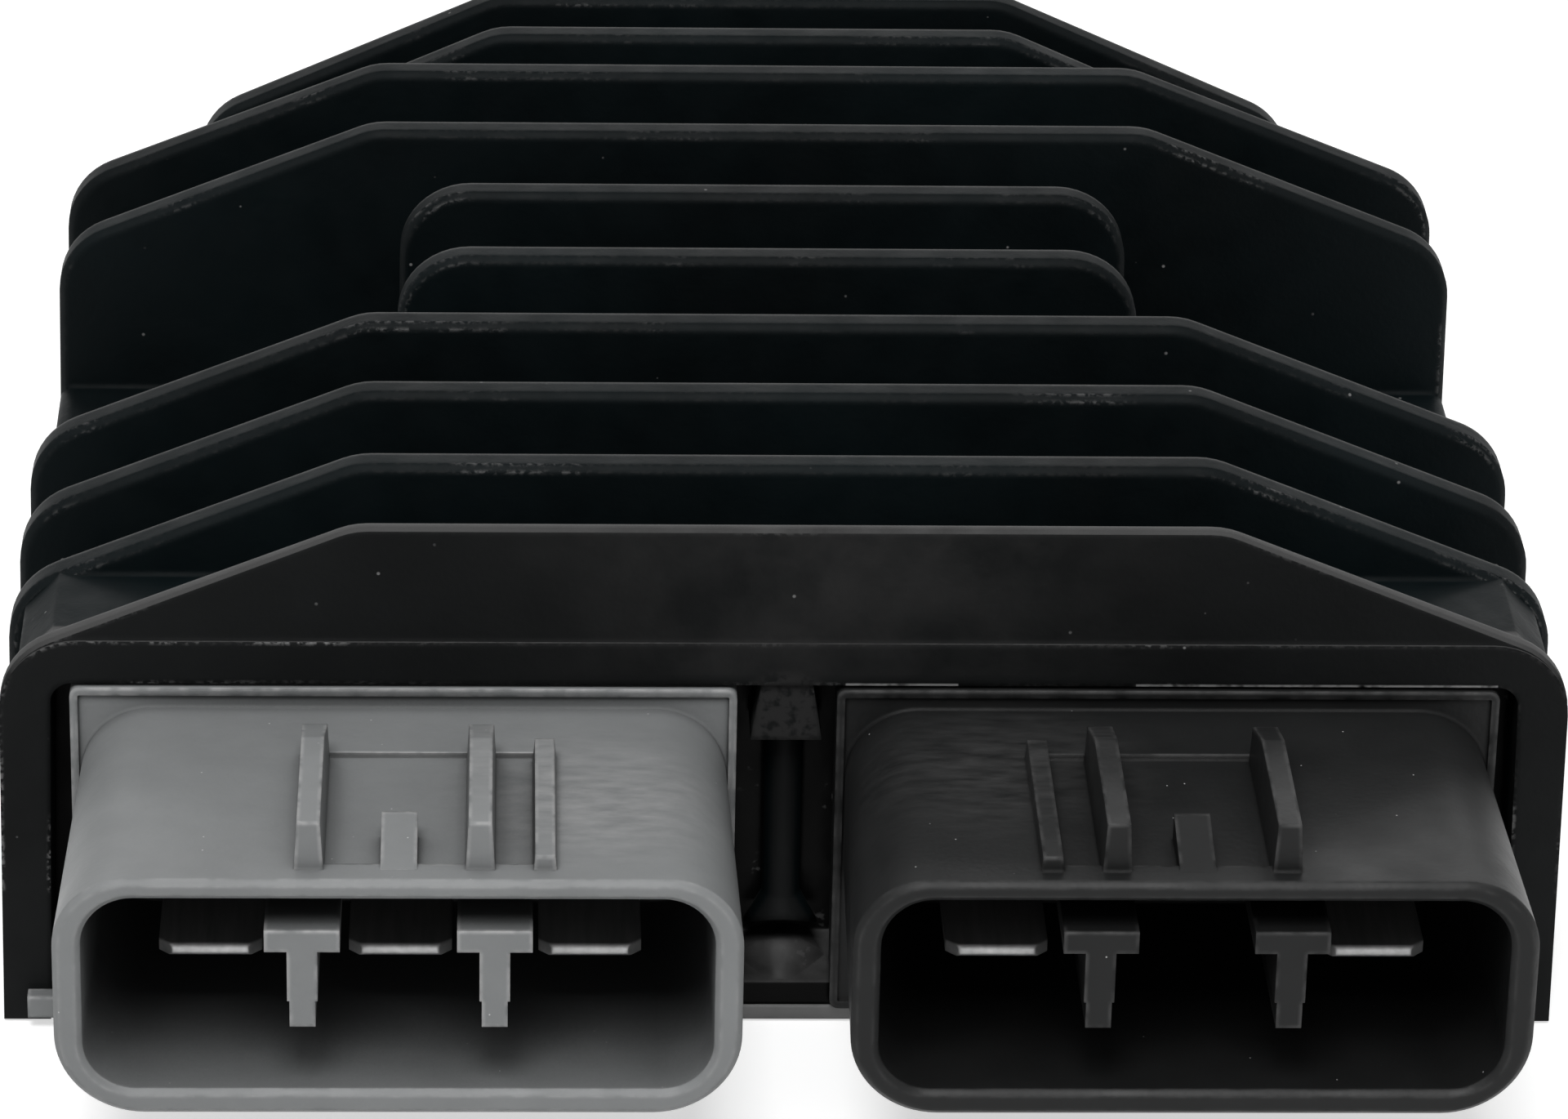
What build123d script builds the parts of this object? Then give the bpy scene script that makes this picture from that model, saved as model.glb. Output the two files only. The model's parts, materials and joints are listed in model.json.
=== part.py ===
from build123d import *
import os
from math import radians, tan

os.makedirs("parts", exist_ok=True)

# Voltage regulator rectifier: a finned die casting, two plug housings in its front opening and the
# potted electronics behind them. Millimetres, X to the right, Y to the rear, Z up. The origin is midway
# between the two mounting holes, on the base plane.

# Plug housings
flange_width = 41.85
flange_top = 23.85
flange_thickness = 2.5
flange_corner = 0.6
flange_lip = 0.25
flange_lip_width = 0.5
flange_gap = 0.25
plug_gap = 6.3
shroud_depth = 23.7
root_inset = 0.625
root_top = 22.4
root_bottom = 6.8
mouth_inset = 0.125
mouth_top = 22.8
mouth_bottom = 6.75
shroud_corner_top = 4.6
shroud_corner_bottom = 5.4
shroud_side_wall = 1.7
shroud_top_wall = 1.3
shroud_bottom_wall = 1.65
socket_corner = 3.2
socket_draft = 0.25
rim_rounding = 0.35
stem_inset = 2.0
stem_height = 15.0
stem_gap = 0.4
stem_corner = 3.0
foot_lug_length = 3.1
foot_lug_overlap = 1.0
foot_lug_height = 1.5
foot_lug_bottom = 0.7
foot_lug_depth = 1.1

# Guide ribs, latch ramp and T guides of the plug housings
rib_inner = -4.9
rib_outer = 5.4
rib_width = 1.85
rib_crest = 1.4
rib_height = 3.6
rib_flat_from_front = 11.0
rib_end_from_front = 6.5
rib_end_height = 2.2
rib_setback = 1.55
rib_root = 0.5
thin_rib_place = -8.8
thin_rib_width = 1.55
thin_rib_crest = 1.2
thin_rib_height = 1.35
thin_rib_from_front = 6.7
latch_width = 2.2
latch_height = 1.5
latch_setback = 1.6
latch_from_mouth = 7.0
recess_depth = 0.25
recess_from_front = 6.3
recess_setback = 2.4
guide_bar_width = 4.55
guide_bar_top = 19.4
guide_bar_thickness = 1.47
guide_stem_width = 1.84
guide_stem_bottom = 12.81
guide_toe_top = 14.56
guide_toe_width = 1.56
guide_setback = 0.15

# Blades
blade_count_ac = 3
blade_count_dc = 2
blade_width = 6.3
blade_thickness = 0.8
blade_height = 14.5
blade_setback = 6.6
blade_side_gap = 4.36
blade_tip_chamfer = 0.85
blade_tip_bevel = 0.2
tail_neck_width = 3.0
tail_neck_from_front = 4.0

# Casting
side_wall = 3.0
opening_side_gap = 1.7
side_draft = 0.7
foot_height = 7.9
side_step = 1.1
top_wall = 2.9
power_wall = 4.1
front_corner = 5.0
deck_corner = 3.5
plug_deck_bevel = 2.2
wall = 3.0
front_wall = 1.9
opening_draft = 1.2
opening_corner = 1.4

# Fins
fin_height = 34.7
fin_tip = 2.3
fin_draft = 0.8
fin_edge = 0.4
fin_pitch = 11.084
first_full_fin = 10.757
fins_before_ears = 3
short_fin_count = 2
fins_behind_ears = 2
front_fin_tip = 1.0
front_fin_edge = 0.2
front_fin_setback = 0.15
front_fin_lean = 1.8
tail_fin_pitch = 7.3
tail_fin_count = 2
long_flat = 54.5
long_shoulder = 21.8
short_corner = 4.9
short_width = 51.0
tail_inset = 8.9
tail_flat = 37.2
tail_shoulder = 23.8
shoulder_corner = 5.0
knee_corner = 5.0

# Ears and mounting holes, midway along the short fins
ear_height = 15.0
ear_corner = 1.0
hole_inset = 9.7
hole_radius = 3.3

# Pillar between the plug housings
pillar_depth = 6.0
pillar_setback = 0.3
block_height = 4.0
block_top_width = 3.2
block_bottom_width = 4.5
column_width = 2.4
pillar_bottom = 5.0
flare_width = 5.4
flare_height = 3.0
arch_radius = 3.25
arch_centre = 3.45

# Base plate and potting resin
base_thickness = 1.0
base_corner = 0.3
base_clearance = 0.15
resin_setback = 4.5
resin_slope = 1.6
ledge_setback = 0.3
ledge_height = 2.6
bead_setback = 0.5
bead_radius = 3.9
bead_centre = 0.8
bead_edge = 2.0
bead_root = 0.5

# Power substrate, control board and what they carry
substrate_thickness = 1.0
substrate_side_gap = 4.7
substrate_front_gap = 1.3
substrate_rear_gap = 0.7
solder_foot = 2.5
tongue_width = 30.0
tongue_length = 8.0
device_width = 10.0
device_length = 8.8
device_height = 4.4
device_side_gap = 4.0
device_rear_gap = 0.6
device_tab = 1.3
device_tab_length = 1.2
device_lead_width = 0.8
device_lead_length = 3.0
device_lead_thickness = 0.5
device_lead_spacing = 5.08
device_count = 6
device_chamfer = 0.5
package_chamfer = 0.3
board_thickness = 1.6
board_drop = 4.3
board_side_gap = 2.4
board_front_gap = 2.6
board_rear_gap = 2.0
post_radius = 2.5
post_from_side = 5.0
post_from_rear = 7.0
header_length = 16.0
header_depth = 2.5
header_height = 2.5
header_from_board_edge = 2.5
pin_width = 0.64
pin_pitch = 2.54
pin_count = 6
chip_length = 10.0
chip_width = 7.5
chip_height = 2.3
chip_from_board_edge = 24.0
driver_size = 5.0
driver_height = 1.5
driver_from_board_edge = 12.0
capacitor_radius = 4.0
capacitor_gap = 1.5
capacitor_from_side = 9.0
capacitor_count = 2
diode_length = 7.0
diode_width = 6.0
diode_height = 2.4
diode_from_board_edge = 37.0

# Widths that follow from the plug housings side by side
plug_spacing = flange_width + plug_gap
opening_width = 2 * flange_width + plug_gap + 2 * opening_side_gap
casting_width = opening_width + 2 * side_wall
half_width = casting_width / 2
tail_width = casting_width - 2 * tail_inset
hole_spacing = casting_width - 2 * hole_inset
body_width = casting_width - 2 * side_step
waist_width = short_width - 2 * side_step
tail_body_width = tail_width - 2 * side_step
mouth_width = flange_width - 2 * mouth_inset
socket_width = mouth_width - 2 * shroud_side_wall
blade_pitch = (socket_width - blade_width) / 2 - blade_side_gap
substrate_width = opening_width - 2 * substrate_side_gap
device_pitch = (substrate_width - device_width - 2 * device_side_gap) / (device_count - 1)
board_width = waist_width - 2 * wall - 2 * board_side_gap
post_spacing = board_width - 2 * post_from_side
capacitor_spacing = board_width - 2 * capacitor_from_side

# Heights that follow from the flanges and the blades
opening_height = flange_top + flange_gap
plug_deck_height = opening_height + top_wall
substrate_bottom = blade_height + blade_thickness / 2
power_roof = substrate_bottom + substrate_thickness
deck_height = power_roof + power_wall
device_bottom = substrate_bottom - device_height
board_top = substrate_bottom - board_drop
board_bottom = board_top - board_thickness
capacitor_height = board_bottom - base_thickness - capacitor_gap

# Places along Y, from the fins
front = -(first_full_fin + (fins_before_ears + (short_fin_count - 1) / 2) * fin_pitch)
full_fin_count = fins_before_ears + short_fin_count + fins_behind_ears
fin_places = [front + first_full_fin + i * fin_pitch for i in range(full_fin_count)]
tail_places = [fin_places[-1] + (i + 1) * tail_fin_pitch for i in range(tail_fin_count)]
fin_root = fin_tip / 2 + fin_height * tan(radians(fin_draft))
plug_deck_end = fin_places[0] + fin_tip / 2
plug_room_end = plug_deck_end - wall
ear_front = fin_places[fins_before_ears - 1] + fin_tip / 2
ear_rear = fin_places[fins_before_ears + short_fin_count] - fin_tip / 2
tail_start = fin_places[-1] + fin_root
rear = tail_places[-1] + fin_root
mouth = front - shroud_depth
substrate_front = plug_room_end + substrate_front_gap
substrate_rear = ear_front - wall - substrate_rear_gap
device_place = substrate_rear - device_rear_gap - device_tab_length - device_length / 2
board_front = substrate_rear + board_front_gap
board_rear = rear - wall - board_rear_gap
post_place = rear - wall - post_from_rear


def lean(height, angle):
    """How far a face drafted by the angle has moved at a height."""
    return height * tan(radians(angle))


def face_at(y):
    """Upright plane that faces the front, at a distance along Y."""
    return Plane.XZ.offset(-y)


def drafted_block(width, height, corner, start, end, draft=side_draft, finish=fillet):
    """Block with leaning sides and two rounded or bevelled top corners, from start to end along Y."""
    foot = width / 2
    top = foot - lean(height, draft)
    with BuildPart() as block:
        with BuildSketch(face_at(start)) as profile:
            with BuildLine():
                Polyline((-foot, 0), (foot, 0), (top, height), (-top, height), close=True)
            make_face()
            finish(profile.vertices().group_by(Axis.Y)[-1], corner)
        extrude(amount=start - end)
    return block.part


def fin_outline(width, flat, shoulder, corner):
    """Front view of a long fin: drafted sides, sloping shoulders and rounded corners."""
    foot = width / 2
    drop = lean((width - flat) / 2, shoulder)
    edge = foot - lean(fin_height - drop, side_draft)
    with BuildSketch(face_at(rear)) as outline:
        with BuildLine():
            Polyline(
                (-foot, 0),
                (foot, 0),
                (edge, fin_height - drop),
                (flat / 2, fin_height),
                (-flat / 2, fin_height),
                (-edge, fin_height - drop),
                close=True,
            )
        make_face()
        fillet(outline.vertices().group_by(Axis.Y)[1], corner)
        fillet(outline.vertices().group_by(Axis.Y)[-1], knee_corner)
    return outline.sketch


def short_fin_outline():
    """Front view of the short fins between the ears."""
    foot = short_width / 2
    edge = foot - lean(fin_height, side_draft)
    with BuildSketch(face_at(rear)) as outline:
        with BuildLine():
            Polyline((-foot, 0), (foot, 0), (edge, fin_height), (-edge, fin_height), close=True)
        make_face()
        fillet(outline.vertices().group_by(Axis.Y)[-1], short_corner)
    return outline.sketch


def fin_section(y):
    """Side view of a full fin: a drafted wall with a flat tip."""
    with BuildSketch(Plane.YZ.offset(-half_width)) as section:
        with BuildLine():
            Polyline(
                (y - fin_root, 0),
                (y + fin_root, 0),
                (y + fin_tip / 2, fin_height),
                (y - fin_tip / 2, fin_height),
                close=True,
            )
        make_face()
    return section.sketch


def front_fin_section():
    """Side view of the thin front fin, which leans back from the front face."""
    heel = front + front_fin_setback
    tip = heel + lean(fin_height - plug_deck_height, front_fin_lean)
    back = tip + front_fin_tip + lean(fin_height - plug_deck_height, fin_draft)
    with BuildSketch(Plane.YZ.offset(-half_width)) as section:
        with BuildLine():
            Polyline(
                (heel, foot_height),
                (back, foot_height),
                (back, plug_deck_height),
                (tip + front_fin_tip, fin_height),
                (tip, fin_height),
                (heel, plug_deck_height),
                close=True,
            )
        make_face()
    return section.sketch


def fins(sections, outline, edge):
    """Fins with the given side views, cut to one front view, with their free edges broken."""
    with BuildPart() as bank:
        for section in sections:
            extrude(section, amount=casting_width)
        extrude(outline, amount=rear - front, mode=Mode.INTERSECT)
        boxes = [(rim, rim.bounding_box()) for rim in bank.edges()]
        rims = [rim for rim, box in boxes if box.size.Y < fin_root - fin_tip / 2 and box.min.Z > ear_height]
        chamfer(rims, edge)
    return bank.part


def pocket(height, corner, clearance=0.0):
    """Room inside the casting: wide at the front, narrow between the ears and again at the tail."""
    shrink = 2 * clearance
    wide = opening_width - shrink
    narrow = waist_width - 2 * wall - shrink
    tail = tail_body_width - 2 * wall - shrink
    start = front + clearance
    behind_ears = ear_rear + wall + clearance
    before_ears = ear_front - wall - clearance
    end = rear - wall - clearance
    with BuildPart() as room:
        add(drafted_block(wide, height, corner, start, before_ears, opening_draft))
        add(drafted_block(narrow, height, corner, start, end, opening_draft))
        add(drafted_block(wide, height, corner, behind_ears, tail_start - wall - clearance, opening_draft))
        add(drafted_block(tail, height, corner, behind_ears, end, opening_draft))
    return room.part


def pillar():
    """Pillar between the plug housings: a block under the roof, a half-round column, a flared foot."""
    block_bottom = opening_height - block_height
    with BuildPart() as column:
        with BuildSketch(face_at(front + pillar_setback)):
            with BuildLine():
                Polyline(
                    (-block_top_width / 2, opening_height),
                    (block_top_width / 2, opening_height),
                    (block_bottom_width / 2, block_bottom),
                    (-block_bottom_width / 2, block_bottom),
                    close=True,
                )
            make_face()
        extrude(amount=-pillar_depth)
        with Locations((0, front + pillar_setback + flare_width / 2, pillar_bottom)):
            Cylinder(
                column_width / 2,
                opening_height - pillar_bottom,
                align=(Align.CENTER, Align.CENTER, Align.MIN),
            )
            Cone(
                flare_width / 2,
                column_width / 2,
                flare_height,
                align=(Align.CENTER, Align.CENTER, Align.MIN),
            )
            Box(
                column_width,
                pillar_depth - flare_width / 2,
                opening_height - pillar_bottom,
                align=(Align.CENTER, Align.MIN, Align.MIN),
            )
        with BuildSketch(face_at(front)):
            with Locations((0, arch_centre)):
                Circle(arch_radius)
        extrude(amount=-pillar_setback - flare_width, mode=Mode.SUBTRACT)
    return column.part


def posts():
    """Two posts under the roof that carry the rear of the control board."""
    with BuildPart() as pair:
        with BuildSketch(Plane.XY.offset(board_top)):
            with Locations((-post_spacing / 2, post_place), (post_spacing / 2, post_place)):
                Circle(post_radius)
        extrude(amount=power_roof - board_top)
    return pair.part


# Core of the casting: the low room for the electronics and the high one for the plug housings
with BuildPart() as core:
    add(pocket(power_roof, opening_corner))
    add(drafted_block(opening_width, opening_height, opening_corner, front, plug_room_end, opening_draft))
    add(pillar(), mode=Mode.SUBTRACT)
    add(posts(), mode=Mode.SUBTRACT)

# Housing: the finned casting, with its ears, cored underside and front opening
long_outline = fin_outline(casting_width, long_flat, long_shoulder, shoulder_corner)
tail_outline = fin_outline(tail_width, tail_flat, tail_shoulder, shoulder_corner)
long_fins = [y for y in fin_places if not ear_front < y < ear_rear]
short_fins = [y for y in fin_places if ear_front < y < ear_rear]
with BuildPart() as housing:
    add(drafted_block(casting_width, plug_deck_height, front_corner, front, front + front_wall))
    add(
        drafted_block(
            body_width,
            plug_deck_height,
            plug_deck_bevel,
            front + front_wall / 2,
            plug_deck_end,
            finish=chamfer,
        )
    )
    add(drafted_block(body_width, deck_height, deck_corner, fin_places[0], ear_front))
    add(drafted_block(waist_width, deck_height, deck_corner, ear_front - wall, ear_rear + wall))
    add(drafted_block(body_width, deck_height, deck_corner, ear_rear, tail_start))
    add(drafted_block(tail_body_width, deck_height, deck_corner, tail_start - wall, rear))
    add(drafted_block(casting_width, foot_height, fin_edge, front + front_wall / 2, tail_start))
    add(drafted_block(tail_width, foot_height, fin_edge, tail_start - wall, rear))
    add(drafted_block(casting_width, ear_height, ear_corner, ear_front - wall / 2, ear_rear + wall / 2))
    add(fins([front_fin_section()], long_outline, front_fin_edge))
    add(fins([fin_section(y) for y in long_fins], long_outline, fin_edge))
    add(fins([fin_section(y) for y in short_fins], short_fin_outline(), fin_edge))
    add(fins([fin_section(y) for y in tail_places], tail_outline, fin_edge))
    add(core.part, mode=Mode.SUBTRACT)
    with Locations((-hole_spacing / 2, 0), (hole_spacing / 2, 0)):
        Cylinder(hole_radius, 2 * fin_height, mode=Mode.SUBTRACT)
housing.part.label = "housing"
export_step(housing.part, "parts/housing.step")


def terminal(x):
    """Flat blade with a bevelled tip, whose narrow tail runs back to a foot under the power substrate."""
    tip = mouth + blade_setback
    foot_end = substrate_front + solder_foot
    neck = front + tail_neck_from_front
    half_blade = blade_width / 2
    half_neck = tail_neck_width / 2
    with BuildPart() as blade:
        with BuildSketch(Plane.XY.offset(substrate_bottom - blade_thickness)):
            with BuildLine():
                Polyline(
                    (x - half_blade + blade_tip_chamfer, tip),
                    (x + half_blade - blade_tip_chamfer, tip),
                    (x + half_blade, tip + blade_tip_chamfer),
                    (x + half_blade, neck),
                    (x + half_neck, neck),
                    (x + half_neck, foot_end),
                    (x - half_neck, foot_end),
                    (x - half_neck, neck),
                    (x - half_blade, neck),
                    (x - half_blade, tip + blade_tip_chamfer),
                    close=True,
                )
            make_face()
        extrude(amount=blade_thickness)
        chamfer(blade.edges().filter_by(Axis.X).group_by(Axis.Y)[0], blade_tip_bevel)
    return blade.part


def rounded_outline(y, x, width, bottom, top, corner_top, corner_bottom, inset=0.0):
    """Rectangle with its own top and bottom corner radii, upright at a place along Y."""
    with BuildSketch(face_at(y)) as outline:
        with Locations((x, (top + bottom) / 2)):
            Rectangle(width - 2 * inset, top - bottom - 2 * inset)
        fillet(outline.vertices().group_by(Axis.Y)[-1], corner_top - inset)
        fillet(outline.vertices().group_by(Axis.Y)[0], corner_bottom - inset)
    return outline.sketch


def shroud_outline(y, x, inset=0.0):
    """Outer outline of a shroud at its mouth, or inset from it."""
    return rounded_outline(
        y,
        x,
        mouth_width,
        mouth_bottom,
        mouth_top,
        shroud_corner_top,
        shroud_corner_bottom,
        inset,
    )


def socket_outline(y, x, inset=0.0):
    """Inner outline of a shroud at its mouth, or inset from it."""
    return rounded_outline(
        y,
        x,
        socket_width,
        mouth_bottom + shroud_bottom_wall,
        mouth_top - shroud_top_wall,
        socket_corner,
        socket_corner,
        inset,
    )


def rib(x, width, crest, profile):
    """Rib across a place along X, with the given points of its side view and drafted sides."""
    low = min(z for y, z in profile)
    high = max(z for y, z in profile)
    with BuildPart() as ridge:
        with BuildSketch(Plane.YZ.offset(x - width / 2)):
            with BuildLine():
                Polyline(*profile, close=True)
            make_face()
        extrude(amount=width)
        with BuildSketch(face_at(mouth)):
            with BuildLine():
                Polyline(
                    (x - width / 2, low),
                    (x + width / 2, low),
                    (x + crest / 2, high),
                    (x - crest / 2, high),
                    close=True,
                )
            make_face()
        extrude(amount=-shroud_depth, mode=Mode.INTERSECT)
    return ridge.part


def shroud_ribs(side):
    """Two tall guide ribs, a thin rib and the latch ramp on top of a shroud."""
    centre = plug_spacing / 2
    root = root_top - rib_root
    start = mouth + rib_setback
    tall = [
        (start, root),
        (start, root_top + rib_height),
        (front - rib_flat_from_front, root_top + rib_height),
        (front - rib_end_from_front, root_top + rib_end_height),
        (front - rib_end_from_front, root),
    ]
    thin = [
        (start, root),
        (start, root_top + thin_rib_height),
        (front - thin_rib_from_front, root_top + thin_rib_height),
        (front - thin_rib_from_front, root),
    ]
    ramp = [
        (mouth + latch_setback, root),
        (mouth + latch_setback, mouth_top),
        (mouth + latch_from_mouth, root_top + latch_height),
        (mouth + latch_from_mouth, root),
    ]
    return [
        rib(side * (centre + rib_inner), rib_width, rib_crest, tall),
        rib(side * (centre + rib_outer), rib_width, rib_crest, tall),
        rib(side * (centre + thin_rib_place), thin_rib_width, thin_rib_crest, thin),
        rib(side * centre, latch_width, latch_width, ramp),
    ]


def guide(x):
    """T-section guide along the socket, from its floor to its mouth."""
    with BuildPart() as beam:
        with BuildSketch(face_at(front)):
            with Locations((x, guide_bar_top)):
                hang = (Align.CENTER, Align.MAX)
                Rectangle(guide_bar_width, guide_bar_thickness, align=hang)
                Rectangle(guide_stem_width, guide_bar_top - guide_toe_top, align=hang)
                Rectangle(guide_toe_width, guide_bar_top - guide_stem_bottom, align=hang)
        extrude(amount=front - mouth - guide_setback)
    return beam.part


def plug_shell(side):
    """Moulded plug housing on one side: flange, shroud, socket, guides, ribs and the stem behind."""
    x = side * plug_spacing / 2
    root_width = flange_width - 2 * root_inset
    stem_width = flange_width - 2 * stem_inset
    flange_height = flange_top - base_thickness
    flange_middle = (flange_top + base_thickness) / 2
    root = rounded_outline(
        front,
        x,
        root_width,
        root_bottom,
        root_top,
        shroud_corner_top,
        shroud_corner_bottom,
    )
    rim = shroud_outline(mouth + rim_rounding, x)
    lip = shroud_outline(mouth, x, rim_rounding)
    floor = socket_outline(front, x, socket_draft)
    opening = socket_outline(mouth + rim_rounding, x)
    flare = socket_outline(mouth, x, -rim_rounding)
    with BuildPart() as shell:
        with BuildSketch(face_at(front)):
            with Locations((x, flange_middle)):
                RectangleRounded(flange_width, flange_height, flange_corner)
        extrude(amount=-flange_thickness)
        with BuildSketch(face_at(front)):
            with Locations((x, flange_middle)):
                RectangleRounded(flange_width, flange_height, flange_corner)
            offset(amount=-flange_lip_width, mode=Mode.SUBTRACT)
        extrude(amount=flange_lip)
        with BuildSketch(face_at(front + flange_thickness)):
            with Locations((x, (root_top + root_bottom) / 2)):
                RectangleRounded(stem_width, stem_height, stem_corner)
        extrude(amount=front + flange_thickness + stem_gap - plug_room_end)
        loft([root.face(), rim.face(), lip.face()], ruled=True)
        recess_middle = x + side * (thin_rib_place + rib_outer) / 2
        recess_place = (recess_middle, mouth + recess_setback, root_top - recess_depth)
        with Locations(recess_place):
            Box(
                rib_outer - thin_rib_place,
                shroud_depth - recess_from_front - recess_setback,
                rib_height,
                align=(Align.CENTER, Align.MIN, Align.MIN),
                mode=Mode.SUBTRACT,
            )
        add(shroud_ribs(side))
        loft([floor.face(), opening.face(), flare.face()], ruled=True, mode=Mode.SUBTRACT)
        add([guide(x - blade_pitch / 2), guide(x + blade_pitch / 2)])
        with Locations((
            x + side * (flange_width / 2 - foot_lug_overlap),
            front,
            foot_lug_bottom,
        )):
            Box(
                2 * (foot_lug_length + foot_lug_overlap),
                foot_lug_depth,
                foot_lug_height,
                align=(Align.CENTER, Align.MAX, Align.MIN),
            )
    return shell.part


# Terminals: three blades for alternating current on the left, two for direct current on the right
ac_terminals = []
for number in range(1, blade_count_ac + 1):
    with BuildPart() as ac_terminal:
        add(terminal((number - (blade_count_ac + 1) / 2) * blade_pitch - plug_spacing / 2))
    ac_terminal.part.label = f"ac_terminal_{number}"
    export_step(ac_terminal.part, f"parts/ac_terminal_{number}.step")
    ac_terminals.append(ac_terminal.part)

dc_terminals = []
for number in range(1, blade_count_dc + 1):
    with BuildPart() as dc_terminal:
        add(terminal((2 * number - blade_count_dc - 1) * blade_pitch + plug_spacing / 2))
    dc_terminal.part.label = f"dc_terminal_{number}"
    export_step(dc_terminal.part, f"parts/dc_terminal_{number}.step")
    dc_terminals.append(dc_terminal.part)

# Plug housings, moulded around their terminals
with BuildPart() as connector_grey:
    add(plug_shell(-1))
    add(ac_terminals, mode=Mode.SUBTRACT)
connector_grey.part.label = "connector_grey"
export_step(connector_grey.part, "parts/connector_grey.step")

with BuildPart() as connector_black:
    add(plug_shell(1))
    add(dc_terminals, mode=Mode.SUBTRACT)
connector_black.part.label = "connector_black"
export_step(connector_black.part, "parts/connector_black.step")

# Base plate: closes the underside, flush with the casting's foot
with BuildPart() as base_plate:
    add(pocket(base_thickness, base_corner, base_clearance))
base_plate.part.label = "base_plate"
export_step(base_plate.part, "parts/base_plate.step")

# Power substrate, bonded under the roof, with a tongue between the ears for the header
with BuildPart() as power_substrate:
    with BuildSketch(Plane.XY.offset(substrate_bottom)):
        with Locations((0, substrate_front)):
            Rectangle(substrate_width, substrate_rear - substrate_front, align=(Align.CENTER, Align.MIN))
            Rectangle(
                tongue_width,
                substrate_rear - substrate_front + tongue_length,
                align=(Align.CENTER, Align.MIN),
            )
    extrude(amount=substrate_thickness)
power_substrate.part.label = "power_substrate"
export_step(power_substrate.part, "parts/power_substrate.step")

# Power devices: a row under the substrate, each with a metal tab behind and two leads in front
power_devices = []
for number in range(1, device_count + 1):
    x = (number - (device_count + 1) / 2) * device_pitch
    with BuildPart() as power_device:
        with BuildSketch(Plane.XY.offset(device_bottom)):
            with Locations((x, device_place)):
                Rectangle(device_width, device_length)
        extrude(amount=device_height)
        chamfer(power_device.faces().sort_by(Axis.Z)[0].edges(), device_chamfer)
        with Locations((x, device_place + device_length / 2, substrate_bottom)):
            Box(
                device_width,
                device_tab_length,
                device_tab,
                align=(Align.CENTER, Align.MIN, Align.MAX),
            )
        lead_root = device_place - device_length / 2
        with Locations(
            (x - device_lead_spacing / 2, lead_root, substrate_bottom),
            (x + device_lead_spacing / 2, lead_root, substrate_bottom),
        ):
            Box(
                device_lead_width,
                device_lead_length,
                device_lead_thickness,
                align=(Align.CENTER, Align.MAX, Align.MAX),
            )
    power_device.part.label = f"power_device_{number}"
    export_step(power_device.part, f"parts/power_device_{number}.step")
    power_devices.append(power_device.part)

# Control board, held by the posts and the header
with BuildPart() as control_board:
    with BuildSketch(Plane.XY.offset(board_top)):
        with Locations((0, (board_front + board_rear) / 2)):
            Rectangle(board_width, board_rear - board_front)
    extrude(amount=-board_thickness)
control_board.part.label = "control_board"
export_step(control_board.part, "parts/control_board.step")

# Signal header: a strip on the board with a row of pins up to the substrate
with BuildPart() as signal_header:
    with BuildSketch(Plane.XY.offset(board_top)):
        with Locations((0, board_front + header_from_board_edge)):
            Rectangle(header_length, header_depth)
    extrude(amount=header_height)
    with BuildSketch(Plane.XY.offset(board_top)):
        with Locations((0, board_front + header_from_board_edge)):
            with GridLocations(pin_pitch, pin_pitch, pin_count, 1):
                Rectangle(pin_width, pin_width)
    extrude(amount=substrate_bottom - board_top)
signal_header.part.label = "signal_header"
export_step(signal_header.part, "parts/signal_header.step")


def board_package(y, length, width, height):
    """Moulded package on top of the control board."""
    with BuildPart() as package:
        with BuildSketch(Plane.XY.offset(board_top)):
            with Locations((0, y)):
                Rectangle(length, width)
        extrude(amount=height)
        chamfer(package.faces().sort_by(Axis.Z)[-1].edges(), package_chamfer)
    return package.part


with BuildPart() as gate_driver:
    add(board_package(board_front + driver_from_board_edge, driver_size, driver_size, driver_height))
gate_driver.part.label = "gate_driver"
export_step(gate_driver.part, "parts/gate_driver.step")

with BuildPart() as control_chip:
    add(board_package(board_front + chip_from_board_edge, chip_length, chip_width, chip_height))
control_chip.part.label = "control_chip"
export_step(control_chip.part, "parts/control_chip.step")

with BuildPart() as zener_diode:
    add(board_package(board_front + diode_from_board_edge, diode_length, diode_width, diode_height))
zener_diode.part.label = "zener_diode"
export_step(zener_diode.part, "parts/zener_diode.step")

# Capacitors: two cans under the control board
capacitors = []
for number in range(1, capacitor_count + 1):
    x = (number - (capacitor_count + 1) / 2) * capacitor_spacing
    with BuildPart() as capacitor:
        with BuildSketch(Plane.XY.offset(board_bottom)):
            with Locations((x, board_front + diode_from_board_edge)):
                Circle(capacitor_radius)
        extrude(amount=-capacitor_height)
    capacitor.part.label = f"capacitor_{number}"
    export_step(capacitor.part, f"parts/capacitor_{number}.step")
    capacitors.append(capacitor.part)

def resin_bead():
    """Bead of resin above the ledge, between the plug housings."""
    with BuildPart() as bead:
        with BuildSketch(face_at(front + bead_setback)):
            with Locations((0, bead_centre)):
                Circle(bead_radius)
        extrude(amount=bead_setback - resin_setback - bead_root)
        chamfer(bead.faces().sort_by(Axis.Y)[0].edges(), bead_edge)
        with Locations((0, front, ledge_height)):
            Box(
                2 * bead_radius,
                resin_setback + bead_root,
                2 * bead_radius,
                align=(Align.CENTER, Align.MIN, Align.MAX),
                mode=Mode.SUBTRACT,
            )
    return bead.part


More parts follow.
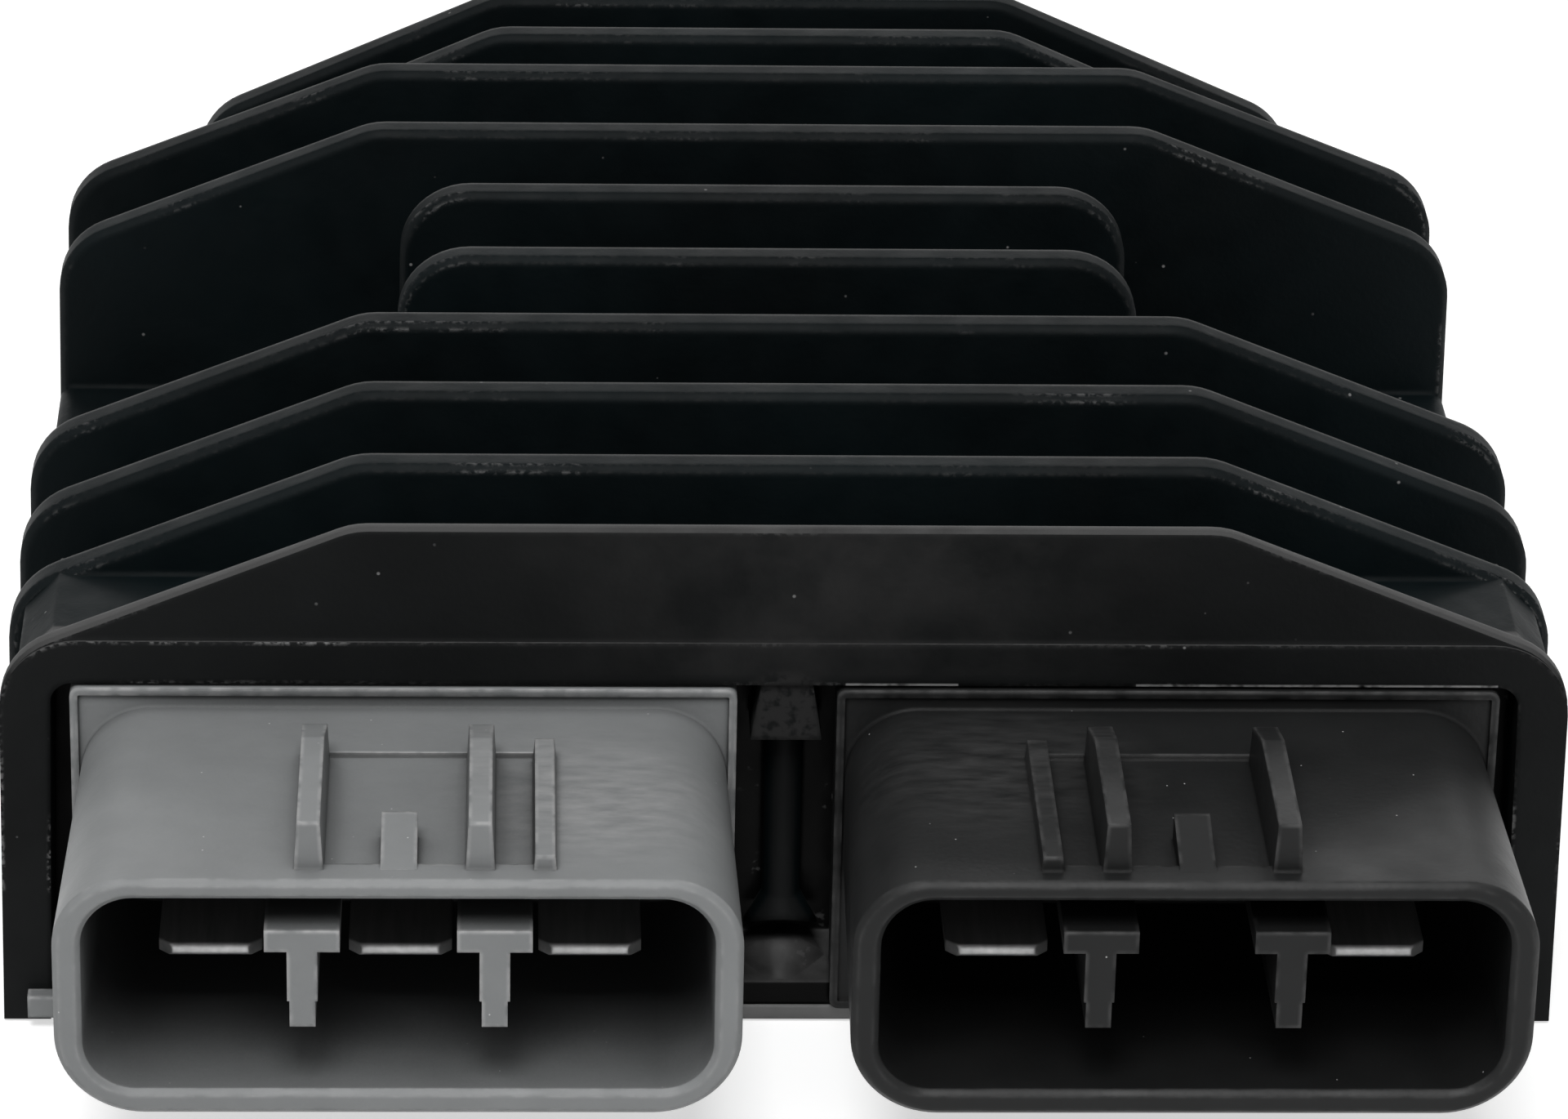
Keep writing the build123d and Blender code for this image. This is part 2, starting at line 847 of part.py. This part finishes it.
# Potting resin: fills the core around everything in it, with a ledge and a bead at its foot in front
with BuildPart() as potting_resin:
    add(core.part)
    skin = front + resin_setback
    ledge = front + ledge_setback
    with BuildSketch(Plane.YZ.offset(-half_width)):
        with BuildLine():
            Polyline(
                (front, 0),
                (ledge, 0),
                (ledge, ledge_height),
                (skin, ledge_height + resin_slope),
                (skin, plug_deck_height),
                (front, plug_deck_height),
                close=True,
            )
        make_face()
    extrude(amount=casting_width, mode=Mode.SUBTRACT)
    add(resin_bead())
    add(pillar(), mode=Mode.SUBTRACT)
    with BuildSketch():
        with Locations((0, (front + rear) / 2)):
            Rectangle(casting_width, rear - front)
    extrude(amount=base_thickness, mode=Mode.SUBTRACT)
    add([connector_grey.part, connector_black.part], mode=Mode.SUBTRACT)
    add(ac_terminals + dc_terminals, mode=Mode.SUBTRACT)
    add([power_substrate.part, control_board.part, signal_header.part], mode=Mode.SUBTRACT)
    add(power_devices + capacitors, mode=Mode.SUBTRACT)
    add([gate_driver.part, control_chip.part, zener_diode.part], mode=Mode.SUBTRACT)
potting_resin.part.label = "potting_resin"
export_step(potting_resin.part, "parts/potting_resin.step")
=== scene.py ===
import json
import math

import bpy
from mathutils import Matrix, Vector

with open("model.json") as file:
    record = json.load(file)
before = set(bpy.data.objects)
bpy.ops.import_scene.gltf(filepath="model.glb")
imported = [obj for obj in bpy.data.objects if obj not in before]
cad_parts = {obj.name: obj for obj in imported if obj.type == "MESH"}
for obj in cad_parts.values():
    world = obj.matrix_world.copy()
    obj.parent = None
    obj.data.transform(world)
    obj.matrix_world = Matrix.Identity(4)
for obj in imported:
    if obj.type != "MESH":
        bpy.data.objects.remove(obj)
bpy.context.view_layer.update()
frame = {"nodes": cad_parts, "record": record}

# Lengths and places are in metres, colour levels are linear, and texture scales are per metre.

# Camera, as fitted to the photograph, with its angles in radians
CAMERA_PLACE = Vector((-0.0177, -0.44875, 0.2258))
CAMERA_YAW = 0.0433
CAMERA_PITCH = 0.4498
CAMERA_ROLL = 0.0229
CAMERA_CLIP = 0.01
LENS_MM = 163.52
SENSOR_MM = 36.0

# Floor and world: the glow and the white are for what the camera sees, the light is for the object
FLOOR_SIZE = 6.0
FLOOR_DROP = 0.0002
FLOOR_LEVEL = 0.7
FLOOR_ROUGHNESS = 0.9
FLOOR_GLOW = 0.6
WORLD_WHITE = 1.0
WORLD_LIGHT = 0.28

# Lamps: name, place, target, width, depth and watts
LAMPS = (
    ("behind", (0.0, 0.55, 0.32), (0.0, 0.0, 0.03), 0.6, 0.1, 0.42),
    ("front", (-0.08, -0.54, 0.81), (0.0, -0.05, 0.01), 0.5, 0.4, 8.4),
)

# Change of red, green and blue at a full share of the cool tint
COOL_TINT = (-0.45, 0.12, 0.3)

# Radius that shading rounds edges over, on most pieces, the casting, the blades and the hidden pieces
EDGE_RADIUS = 0.0004
RIM_RADIUS = 0.0006
BLADE_EDGE = 0.0003
HIDDEN_EDGE = 0.0002
BEVEL_SAMPLES = 5

# Edges, for wear and painted edge highlights, and hollows, for painted shade: how far each is looked for,
# and the mask's level by the share that is unblocked
WEAR_REACH = 0.0003
WEAR_LEVELS = ((0.6, 1.0), (0.95, 0.0))
HOLLOW_REACH = 0.03
HOLLOW_LEVELS = ((0.05, 0.16), (0.25, 0.2), (0.45, 0.68), (0.7, 1.0))
OCCLUSION_SAMPLES = 6

# What faces up, and corners turned to the rear: the mask's level by that part of the normal
UPWARD_LEVELS = ((0.2, 0.0), (0.7, 1.0))
REARWARD_LEVELS = ((0.06, 0.0), (0.35, 1.0))

# Values between which most of a noise texture lies
NOISE_LOW = 0.3
NOISE_HIGH = 0.7

# Casting: the depths over which its front face begins, the height of its opening's top, and the height
# above which its edges are worn
FRONT_FACE = (-0.0473, -0.0476)
OPENING_TOP = 0.0245
WORN_FROM = 0.009

# Smeared block on top of the pillar between the plug housings
BLOCK_MIDDLE = (0.0, -0.0495, 0.022)
BLOCK_REACH = 0.0034

# Painted sheen in the middle of the front face: a lighter mottled patch that stands in for a soft reflection
FRONT_SHEEN_MIDDLE = (0.003, -0.048, 0.037)
FRONT_SHEEN_REACH = 0.024

# Bare line scraped along the opening's top edge: its height and its two runs across
LIP_HEIGHT = (0.0236, 0.0242)
LIP_RUNS = ((0.0037, 0.0107), (0.022, 0.0448))
LIP_FADE = 0.00008

# Levels of what shows on the casting's paint: wear, smears and specks, the painted highlights on the front
# fin's top and on the rear corners, and the painted sheen in the front face's middle
CHIPS = 0.03
BARE_METAL = 0.22
BLOCK_SMEARS = 0.02
FRONT_RIM_HIGHLIGHT = 0.055
FRONT_SHEEN = 0.019
REAR_HIGHLIGHT = 0.11
SCRAPED_LIP = 0.4
SPECKS = 0.14

# Plug housings: rubbed patches on their tops, with the slant in radians and the stretch of the streaks
# there, the share of cool tint in the plastic, and the level of the dust on it
GREY_PATCH = (-0.0125, -0.062, 0.026)
BLACK_PATCH = (0.013, -0.058, 0.025)
PATCH_REACH = 0.011
STREAK_SLANT = 0.6
STREAK_STRETCH = (0.3, 1.0, 0.6)
PLASTIC_TINT = 0.06
PLASTIC_DUST = 0.5

# Levels of what lies on the resin, its dust and painted sheen on what faces up among them, and on the plate
RESIN_DUST_AND_SHEEN = 0.06
RESIN_SMUDGES = 0.05
PLATE_STAINS = 0.06

# Drawing and rolling marks: how the coordinates are squeezed along them
DRAWN_ALONG_Y = (1.0, 0.08, 1.0)
ROLLED_ALONG_X = (0.05, 1.0, 1.0)

# Darkest share of a hidden piece's colour, and how far its roughness wanders
HIDDEN_SHADE = 0.75
HIDDEN_WANDER = 0.08


def node(tree, kind, **settings):
    """New shader node with the given attributes."""
    made = tree.nodes.new(kind)
    for name, value in settings.items():
        setattr(made, name, value)
    return made


def new_material(name):
    """Material with a Principled shader, returned with its tree and its shader."""
    material = bpy.data.materials.new(name)
    material.use_nodes = True
    tree = material.node_tree
    return material, tree, tree.nodes["Principled BSDF"]


def grey(level):
    """Opaque grey colour."""
    return (level, level, level, 1.0)


def cool(level, share):
    """Grey with a share of the cool tint."""
    return tuple(level * (1.0 + change * share) for change in COOL_TINT) + (1.0,)


def object_coordinates(tree):
    """The piece's own coordinates, in metres."""
    return node(tree, "ShaderNodeTexCoord").outputs["Object"]


def stretched(tree, coordinates, scale, turn=0.0):
    """Coordinates turned about Z and scaled along each axis, so that what is read there runs in lines."""
    made = node(tree, "ShaderNodeMapping")
    made.inputs["Rotation"].default_value = (0.0, 0.0, turn)
    made.inputs["Scale"].default_value = scale
    tree.links.new(coordinates, made.inputs["Vector"])
    return made.outputs["Vector"]


def noise(tree, coordinates, scale, detail=3.0, roughness=0.5):
    """Value of a noise texture at the given coordinates."""
    made = node(tree, "ShaderNodeTexNoise")
    made.inputs["Scale"].default_value = scale
    made.inputs["Detail"].default_value = detail
    made.inputs["Roughness"].default_value = roughness
    tree.links.new(coordinates, made.inputs["Vector"])
    return made.outputs["Fac"]


def ramp(tree, value, *stops):
    """Colour ramp over a value, with (place, colour) stops."""
    made = node(tree, "ShaderNodeValToRGB")
    elements = made.color_ramp.elements
    while len(elements) < len(stops):
        elements.new(0.5)
    for element, (place, colour) in zip(elements, stops):
        element.position = place
        element.color = colour
    tree.links.new(value, made.inputs["Fac"])
    return made.outputs["Color"]


def grey_ramp(tree, value, *stops):
    """Colour ramp over a value, with (place, grey level) stops."""
    return ramp(tree, value, *((place, grey(level)) for place, level in stops))


def mix(tree, factor, first, second):
    """Mix of two colours, each a socket or a plain colour, by a socket."""
    made = node(tree, "ShaderNodeMix", data_type="RGBA")
    tree.links.new(factor, made.inputs["Factor"])
    for name, source in (("A", first), ("B", second)):
        socket = [s for s in made.inputs if s.name == name and s.type == "RGBA"][0]
        if isinstance(source, bpy.types.NodeSocket):
            tree.links.new(source, socket)
        else:
            socket.default_value = source
    return [s for s in made.outputs if s.type == "RGBA"][0]


def combined(tree, operation, masks):
    """Masks joined one after another by a math operation."""
    result = masks[0]
    for mask in masks[1:]:
        made = node(tree, "ShaderNodeMath", operation=operation)
        tree.links.new(result, made.inputs[0])
        tree.links.new(mask, made.inputs[1])
        result = made.outputs[0]
    return result


def all_of(tree, *masks):
    """Product of masks."""
    return combined(tree, "MULTIPLY", masks)


def any_of(tree, *masks):
    """Highest of masks."""
    return combined(tree, "MAXIMUM", masks)


def part_of(tree, vector, axis):
    """One part of a vector, by the name of its axis."""
    parts = node(tree, "ShaderNodeSeparateXYZ")
    tree.links.new(vector, parts.inputs[0])
    return parts.outputs[axis]


def mapped(tree, value, from_min, from_max, to_min=0.0, to_max=1.0):
    """Value taken from one range to another, and held at its ends."""
    made = node(tree, "ShaderNodeMapRange")
    tree.links.new(value, made.inputs["Value"])
    made.inputs["From Min"].default_value = from_min
    made.inputs["From Max"].default_value = from_max
    made.inputs["To Min"].default_value = to_min
    made.inputs["To Max"].default_value = to_max
    return made.outputs["Result"]


def soft_edges(tree, radius=EDGE_RADIUS):
    """Normal that rounds the edges over the given radius."""
    made = node(tree, "ShaderNodeBevel", samples=BEVEL_SAMPLES)
    made.inputs["Radius"].default_value = radius
    return made.outputs["Normal"]


def bump(tree, shader, height, distance, strength, under):
    """Bump from a height socket over a normal, into the shader."""
    made = node(tree, "ShaderNodeBump")
    made.inputs["Strength"].default_value = strength
    made.inputs["Distance"].default_value = distance
    tree.links.new(height, made.inputs["Height"])
    tree.links.new(under, made.inputs["Normal"])
    tree.links.new(made.outputs["Normal"], shader.inputs["Normal"])


def uneven_gloss(tree, shader, coordinates, scale, smooth, rough, detail=3.0):
    """Roughness that wanders between two values."""
    value = noise(tree, coordinates, scale, detail)
    gloss = grey_ramp(tree, value, (NOISE_LOW, smooth), (NOISE_HIGH, rough))
    tree.links.new(gloss, shader.inputs["Roughness"])


def near_edges(tree):
    """1 at outside edges, 0 away from them."""
    made = node(tree, "ShaderNodeAmbientOcclusion", inside=True, samples=OCCLUSION_SAMPLES)
    made.inputs["Distance"].default_value = WEAR_REACH
    return grey_ramp(tree, made.outputs["AO"], *WEAR_LEVELS)


def openness(tree):
    """1 out in the open, near 0 deep inside the piece's own hollows."""
    made = node(tree, "ShaderNodeAmbientOcclusion", only_local=True, samples=OCCLUSION_SAMPLES)
    made.inputs["Distance"].default_value = HOLLOW_REACH
    return grey_ramp(tree, made.outputs["AO"], *HOLLOW_LEVELS)


def spots(tree, coordinates, scale, low, high, detail=2.0, strength=1.0):
    """Mask of separate spots: the strength in them, 0 between them."""
    value = noise(tree, coordinates, scale, detail, roughness=0.6)
    return grey_ramp(tree, value, (low, 0.0), (high, strength))


def dots(tree, coordinates, scale, radius, solid=0.6):
    """Mask of round dots, about one to a cell: 1 within a solid share of the radius, 0 beyond the radius."""
    made = node(tree, "ShaderNodeTexVoronoi")
    made.inputs["Scale"].default_value = scale
    tree.links.new(coordinates, made.inputs["Vector"])
    return grey_ramp(tree, made.outputs["Distance"], (solid * radius, 1.0), (radius, 0.0))


def facing_up(tree):
    """Mask of what faces up, where dust lies on the resin and where highlights are painted on the casting.
    """
    normal = node(tree, "ShaderNodeNewGeometry").outputs["Normal"]
    return grey_ramp(tree, part_of(tree, normal, "Z"), *UPWARD_LEVELS)


def rear_corners(tree, normal):
    """Mask of rounded corners that turn to the rear, on what faces up."""
    turned = grey_ramp(tree, part_of(tree, normal, "Y"), *REARWARD_LEVELS)
    return all_of(tree, turned, facing_up(tree))


def near_point(tree, coordinates, centre, radius, solid=0.2):
    """Mask of what lies near a point: 1 within a solid share of the radius, 0 beyond the radius."""
    made = node(tree, "ShaderNodeVectorMath", operation="DISTANCE")
    tree.links.new(coordinates, made.inputs[0])
    made.inputs[1].default_value = centre
    return mapped(tree, made.outputs["Value"], solid * radius, radius, 1.0, 0.0)


def along_axis(tree, coordinates, axis, start, end):
    """0 up to the start place on one axis, 1 from the end place on."""
    return mapped(tree, part_of(tree, coordinates, axis), start, end)


def above(tree, coordinates, height):
    """0 below a height, 1 from an edge's radius over it on."""
    return along_axis(tree, coordinates, "Z", height, height + EDGE_RADIUS)


def between(tree, coordinates, axis, low, high):
    """1 from the low to the high place on one axis, 0 beyond the lip's fade."""
    return all_of(tree, along_axis(tree, coordinates, axis, low - LIP_FADE, low),
                  along_axis(tree, coordinates, axis, high + LIP_FADE, high))


def casting_paint():
    """Near-black satin paint over a fine cast grain, chipped, bare and dusty along its edges, with painted
    light and shade: a lighter front face, darker and cooler faces behind it, a painted sheen in the front
    face's middle, and painted highlights on the front fin's top and on rear-turned corners.
    """
    material, tree, shader = new_material("casting_paint")
    place = object_coordinates(tree)
    rounded = soft_edges(tree, RIM_RADIUS)

    clouds = noise(tree, place, scale=45.0, detail=5.0, roughness=0.6)
    # Painted light and shade: the front face is painted lighter, and the faces behind it darker and cooler,
    # standing in for the front fin's shade on them
    shaded_rear_paint = ramp(tree, clouds, (0.35, cool(0.0018, 1.0)), (0.7, cool(0.004, 1.0)))
    lit_front_paint = ramp(tree, clouds, (0.35, cool(0.0042, 0.15)), (0.7, cool(0.008, 0.15)))
    front = along_axis(tree, place, "Y", *FRONT_FACE)
    colour = mix(tree, front, shaded_rear_paint, lit_front_paint)

    worn = all_of(tree, near_edges(tree), spots(tree, place, scale=110.0, low=0.42, high=0.58),
                  above(tree, place, WORN_FROM))
    chips = all_of(tree, worn, spots(tree, place, scale=2400.0, low=0.46, high=0.6))
    bare = all_of(tree, chips, spots(tree, place, scale=70.0, low=0.52, high=0.6))
    smears = all_of(tree, near_point(tree, place, BLOCK_MIDDLE, BLOCK_REACH, solid=0.7),
                    spots(tree, place, scale=1300.0, low=0.36, high=0.5))
    over_opening = above(tree, place, OPENING_TOP)
    # Painted highlight: what faces up on the front face above the opening, the front fin's top, is painted
    # lighter
    rim = all_of(tree, facing_up(tree), front, over_opening)
    # Painted reflection: a mottled lighter patch in the middle of the front face
    front_sheen = all_of(tree, near_point(tree, place, FRONT_SHEEN_MIDDLE, FRONT_SHEEN_REACH),
                     spots(tree, place, scale=190.0, low=0.34, high=0.68, detail=6.0), over_opening, front)
    lip_runs = any_of(tree, *(between(tree, place, "X", *run) for run in LIP_RUNS))
    scraped = all_of(tree, between(tree, place, "Z", *LIP_HEIGHT), lip_runs, front,
                     spots(tree, place, scale=900.0, low=0.3, high=0.5))
    specks = all_of(tree, dots(tree, place, scale=420.0, radius=0.055),
                    spots(tree, place, scale=130.0, low=0.5, high=0.56))
    # The rear corners' mask paints a highlight: a light line along rounded edges that turn to the rear, as a
    # lamp behind would light them
    for mask, level in ((chips, CHIPS), (bare, BARE_METAL), (smears, BLOCK_SMEARS), (rim, FRONT_RIM_HIGHLIGHT),
                        (front_sheen, FRONT_SHEEN), (rear_corners(tree, rounded), REAR_HIGHLIGHT),
                        (scraped, SCRAPED_LIP), (specks, SPECKS)):
        colour = mix(tree, mask, colour, grey(level))

    tree.links.new(colour, shader.inputs["Base Color"])
    uneven_gloss(tree, shader, place, scale=350.0, smooth=0.5, rough=0.62, detail=4.0)
    shader.inputs["Specular IOR Level"].default_value = 0.075
    grain = noise(tree, place, scale=1500.0, detail=4.0, roughness=0.6)
    bump(tree, shader, grain, distance=0.00006, strength=0.5, under=rounded)
    return material


def moulded_plastic(name, dark, light, hollow_shade, worn, patch, rough, specular):
    """Moulded plastic: faint flow marks, fine matte grain, edges lighter as partly wear and partly painted
    highlight, a patch of scuff streaks, dust specks, and painted shade deep in its hollows.
    """
    material, tree, shader = new_material(name)
    place = object_coordinates(tree)
    flow_marks = noise(tree, place, scale=90.0, detail=6.0, roughness=0.65)
    colour = ramp(tree, flow_marks, (0.3, cool(dark, PLASTIC_TINT)), (0.72, cool(light, PLASTIC_TINT)))

    # Edges: partly wear and partly painted highlight, lighter along outside edges such as the mouth's inner
    # rim
    rubbed_and_highlit = all_of(tree, near_edges(tree), spots(tree, place, scale=600.0, low=0.36, high=0.6))
    slanted = stretched(tree, place, STREAK_STRETCH, STREAK_SLANT)
    streaks = spots(tree, slanted, scale=1100.0, low=0.3, high=0.72, detail=5.0, strength=0.65)
    scuffs = all_of(tree, streaks, near_point(tree, place, patch, PATCH_REACH))
    dust = dots(tree, place, scale=500.0, radius=0.03)
    for mask, level in ((rubbed_and_highlit, worn), (scuffs, worn), (dust, PLASTIC_DUST)):
        colour = mix(tree, mask, colour, grey(level))
    # Painted shade: the colour darkens towards the given shade level deep inside the piece's own hollows,
    # such as the sockets
    colour = mix(tree, openness(tree), grey(hollow_shade), colour)

    tree.links.new(colour, shader.inputs["Base Color"])
    uneven_gloss(tree, shader, place, scale=220.0, smooth=rough - 0.06, rough=rough + 0.08, detail=4.0)
    shader.inputs["Specular IOR Level"].default_value = specular
    grain = noise(tree, place, scale=2200.0)
    bump(tree, shader, grain, distance=0.00004, strength=0.5, under=soft_edges(tree))
    return material


def tinned_metal():
    """Dull tin plating on the blades, with fine drawing marks along them."""
    material, tree, shader = new_material("tinned_metal")
    place = object_coordinates(tree)
    marks = noise(tree, stretched(tree, place, DRAWN_ALONG_Y), scale=1800.0)
    tin = grey_ramp(tree, marks, (NOISE_LOW, 0.36), (NOISE_HIGH, 0.48))
    tree.links.new(tin, shader.inputs["Base Color"])
    shader.inputs["Metallic"].default_value = 0.78
    uneven_gloss(tree, shader, place, scale=300.0, smooth=0.35, rough=0.5)
    bump(tree, shader, marks, distance=0.00001, strength=0.4, under=soft_edges(tree, BLADE_EDGE))
    return material


def potting():
    """Black potting resin: a smooth skin with slow swells, dust and painted sheen on what faces up, and
    smudges.
    """
    material, tree, shader = new_material("resin")
    place = object_coordinates(tree)
    skin = grey_ramp(tree, noise(tree, place, scale=150.0, detail=4.0), (0.35, 0.001), (0.7, 0.003))
    # Dust and painted sheen: what faces up is painted lighter
    dust = all_of(tree, facing_up(tree), noise(tree, place, scale=500.0, detail=4.0))
    smudges = all_of(tree, spots(tree, place, scale=1500.0, low=0.6, high=0.68),
                     spots(tree, place, scale=250.0, low=0.58, high=0.66))
    dust_and_sheen_skin = mix(tree, dust, skin, grey(RESIN_DUST_AND_SHEEN))
    tree.links.new(mix(tree, smudges, dust_and_sheen_skin, grey(RESIN_SMUDGES)), shader.inputs["Base Color"])
    uneven_gloss(tree, shader, place, scale=120.0, smooth=0.3, rough=0.5)
    shader.inputs["Specular IOR Level"].default_value = 0.05
    swells = noise(tree, place, scale=260.0)
    bump(tree, shader, swells, distance=0.0003, strength=0.5, under=soft_edges(tree))
    return material


def brushed_sheet():
    """Dull plate with fine rolling marks and stains."""
    material, tree, shader = new_material("plate")
    place = object_coordinates(tree)
    marks = noise(tree, stretched(tree, place, ROLLED_ALONG_X), scale=900.0, detail=4.0)
    sheet = grey_ramp(tree, marks, (NOISE_LOW, 0.1), (NOISE_HIGH, 0.15))
    stains = spots(tree, place, scale=70.0, low=0.5, high=0.75, detail=4.0)
    tree.links.new(mix(tree, stains, sheet, grey(PLATE_STAINS)), shader.inputs["Base Color"])
    shader.inputs["Metallic"].default_value = 0.6
    uneven_gloss(tree, shader, place, scale=200.0, smooth=0.4, rough=0.6, detail=4.0)
    bump(tree, shader, marks, distance=0.00002, strength=0.5, under=soft_edges(tree))
    return material


def inner_finish(name, colour, rough, metallic=0.0):
    """Noise-varied finish for the pieces inside the resin."""
    material, tree, shader = new_material(name)
    place = object_coordinates(tree)
    darker = tuple(HIDDEN_SHADE * part for part in colour[:3]) + (1.0,)
    value = noise(tree, place, scale=300.0, detail=4.0)
    tree.links.new(ramp(tree, value, (NOISE_LOW, darker), (NOISE_HIGH, colour)), shader.inputs["Base Color"])
    uneven_gloss(tree, shader, place, scale=500.0, smooth=rough - HIDDEN_WANDER, rough=rough + HIDDEN_WANDER)
    shader.inputs["Metallic"].default_value = metallic
    grain = noise(tree, place, scale=1500.0)
    bump(tree, shader, grain, distance=0.00002, strength=0.4, under=soft_edges(tree, HIDDEN_EDGE))
    return material


materials = {
    "casting_paint": casting_paint(),
    "grey_plastic": moulded_plastic("grey_plastic", dark=0.165, light=0.2, hollow_shade=0.0, worn=0.36,
                                    patch=GREY_PATCH, rough=0.5, specular=0.3),
    "black_plastic": moulded_plastic("black_plastic", dark=0.009, light=0.0125, hollow_shade=0.003, worn=0.06,
                                     patch=BLACK_PATCH, rough=0.42, specular=0.16),
    "tinned_metal": tinned_metal(),
    "resin": potting(),
    "plate": brushed_sheet(),
    "substrate": inner_finish("substrate", grey(0.5), rough=0.4, metallic=1.0),
    "circuit_board": inner_finish("circuit_board", (0.01, 0.08, 0.02, 1.0), rough=0.4),
    "chip_plastic": inner_finish("chip_plastic", grey(0.03), rough=0.6),
    "can": inner_finish("can", grey(0.5), rough=0.3, metallic=1.0),
    "header_plastic": inner_finish("header_plastic", grey(0.03), rough=0.5),
}
for entry in frame["record"]["subparts"]:
    piece = frame["nodes"][entry["node"]]
    piece.data.materials.clear()
    piece.data.materials.append(materials[entry["material_slot"]])


def seen_rays(tree):
    """1 for what the camera sees, directly, in a reflection or through glass, and 0 for light."""
    rays = node(tree, "ShaderNodeLightPath").outputs
    return any_of(tree, rays["Is Camera Ray"], rays["Is Glossy Ray"], rays["Is Transmission Ray"])


def stage_floor():
    """Pale floor that looks white away from the object, and keeps the object's shadow."""
    bpy.ops.mesh.primitive_plane_add(size=FLOOR_SIZE, location=(0, 0, -FLOOR_DROP))
    floor = bpy.context.object
    floor.name = "floor"
    material, tree, shader = new_material("floor")
    shader.inputs["Base Color"].default_value = grey(FLOOR_LEVEL)
    shader.inputs["Roughness"].default_value = FLOOR_ROUGHNESS
    glow = node(tree, "ShaderNodeEmission")
    tree.links.new(seen_rays(tree), glow.inputs["Strength"])
    glow.inputs["Color"].default_value = grey(FLOOR_GLOW)
    sum_of_both = node(tree, "ShaderNodeAddShader")
    tree.links.new(shader.outputs[0], sum_of_both.inputs[0])
    tree.links.new(glow.outputs[0], sum_of_both.inputs[1])
    tree.links.new(sum_of_both.outputs[0], tree.nodes["Material Output"].inputs["Surface"])
    floor.data.materials.append(material)


def white_world():
    """White behind the object, plain light on it."""
    world = bpy.data.worlds.new("studio")
    bpy.context.scene.world = world
    world.use_nodes = True
    tree = world.node_tree
    light = tree.nodes["Background"]
    light.inputs["Color"].default_value = grey(1.0)
    light.inputs["Strength"].default_value = WORLD_LIGHT
    white = node(tree, "ShaderNodeBackground")
    white.inputs["Color"].default_value = grey(1.0)
    white.inputs["Strength"].default_value = WORLD_WHITE
    blend = node(tree, "ShaderNodeMixShader")
    tree.links.new(seen_rays(tree), blend.inputs["Fac"])
    tree.links.new(light.outputs[0], blend.inputs[1])
    tree.links.new(white.outputs[0], blend.inputs[2])
    tree.links.new(blend.outputs[0], tree.nodes["World Output"].inputs["Surface"])


def area_light(name, place, target, width, depth, watts):
    """Soft rectangular lamp aimed at a point."""
    lamp = bpy.data.lights.new(name, "AREA")
    lamp.shape = "RECTANGLE"
    lamp.size = width
    lamp.size_y = depth
    lamp.energy = watts
    holder = bpy.data.objects.new(name, lamp)
    bpy.context.scene.collection.objects.link(holder)
    holder.location = place
    holder.rotation_euler = (Vector(target) - Vector(place)).to_track_quat("-Z", "Y").to_euler()


def photo_camera():
    """Camera at the photograph's place and angle."""
    sin_yaw, cos_yaw = math.sin(CAMERA_YAW), math.cos(CAMERA_YAW)
    sin_pitch, cos_pitch = math.sin(CAMERA_PITCH), math.cos(CAMERA_PITCH)
    sin_roll, cos_roll = math.sin(CAMERA_ROLL), math.cos(CAMERA_ROLL)
    forward = Vector((sin_yaw * cos_pitch, cos_yaw * cos_pitch, -sin_pitch))
    level_right = Vector((cos_yaw, -sin_yaw, 0.0))
    level_down = forward.cross(level_right)
    right = cos_roll * level_right - sin_roll * level_down
    down = sin_roll * level_right + cos_roll * level_down
    data = bpy.data.cameras.new("camera")
    data.lens = LENS_MM
    data.sensor_width = SENSOR_MM
    data.sensor_fit = "HORIZONTAL"
    data.clip_start = CAMERA_CLIP
    camera = bpy.data.objects.new("camera", data)
    bpy.context.scene.collection.objects.link(camera)
    axes = Matrix((right, -down, -forward)).transposed()
    camera.matrix_world = Matrix.Translation(CAMERA_PLACE) @ axes.to_4x4()
    bpy.context.scene.camera = camera


stage_floor()
white_world()
for lamp_row in LAMPS:
    area_light(*lamp_row)
photo_camera()
bpy.context.scene.view_settings.view_transform = "Standard"
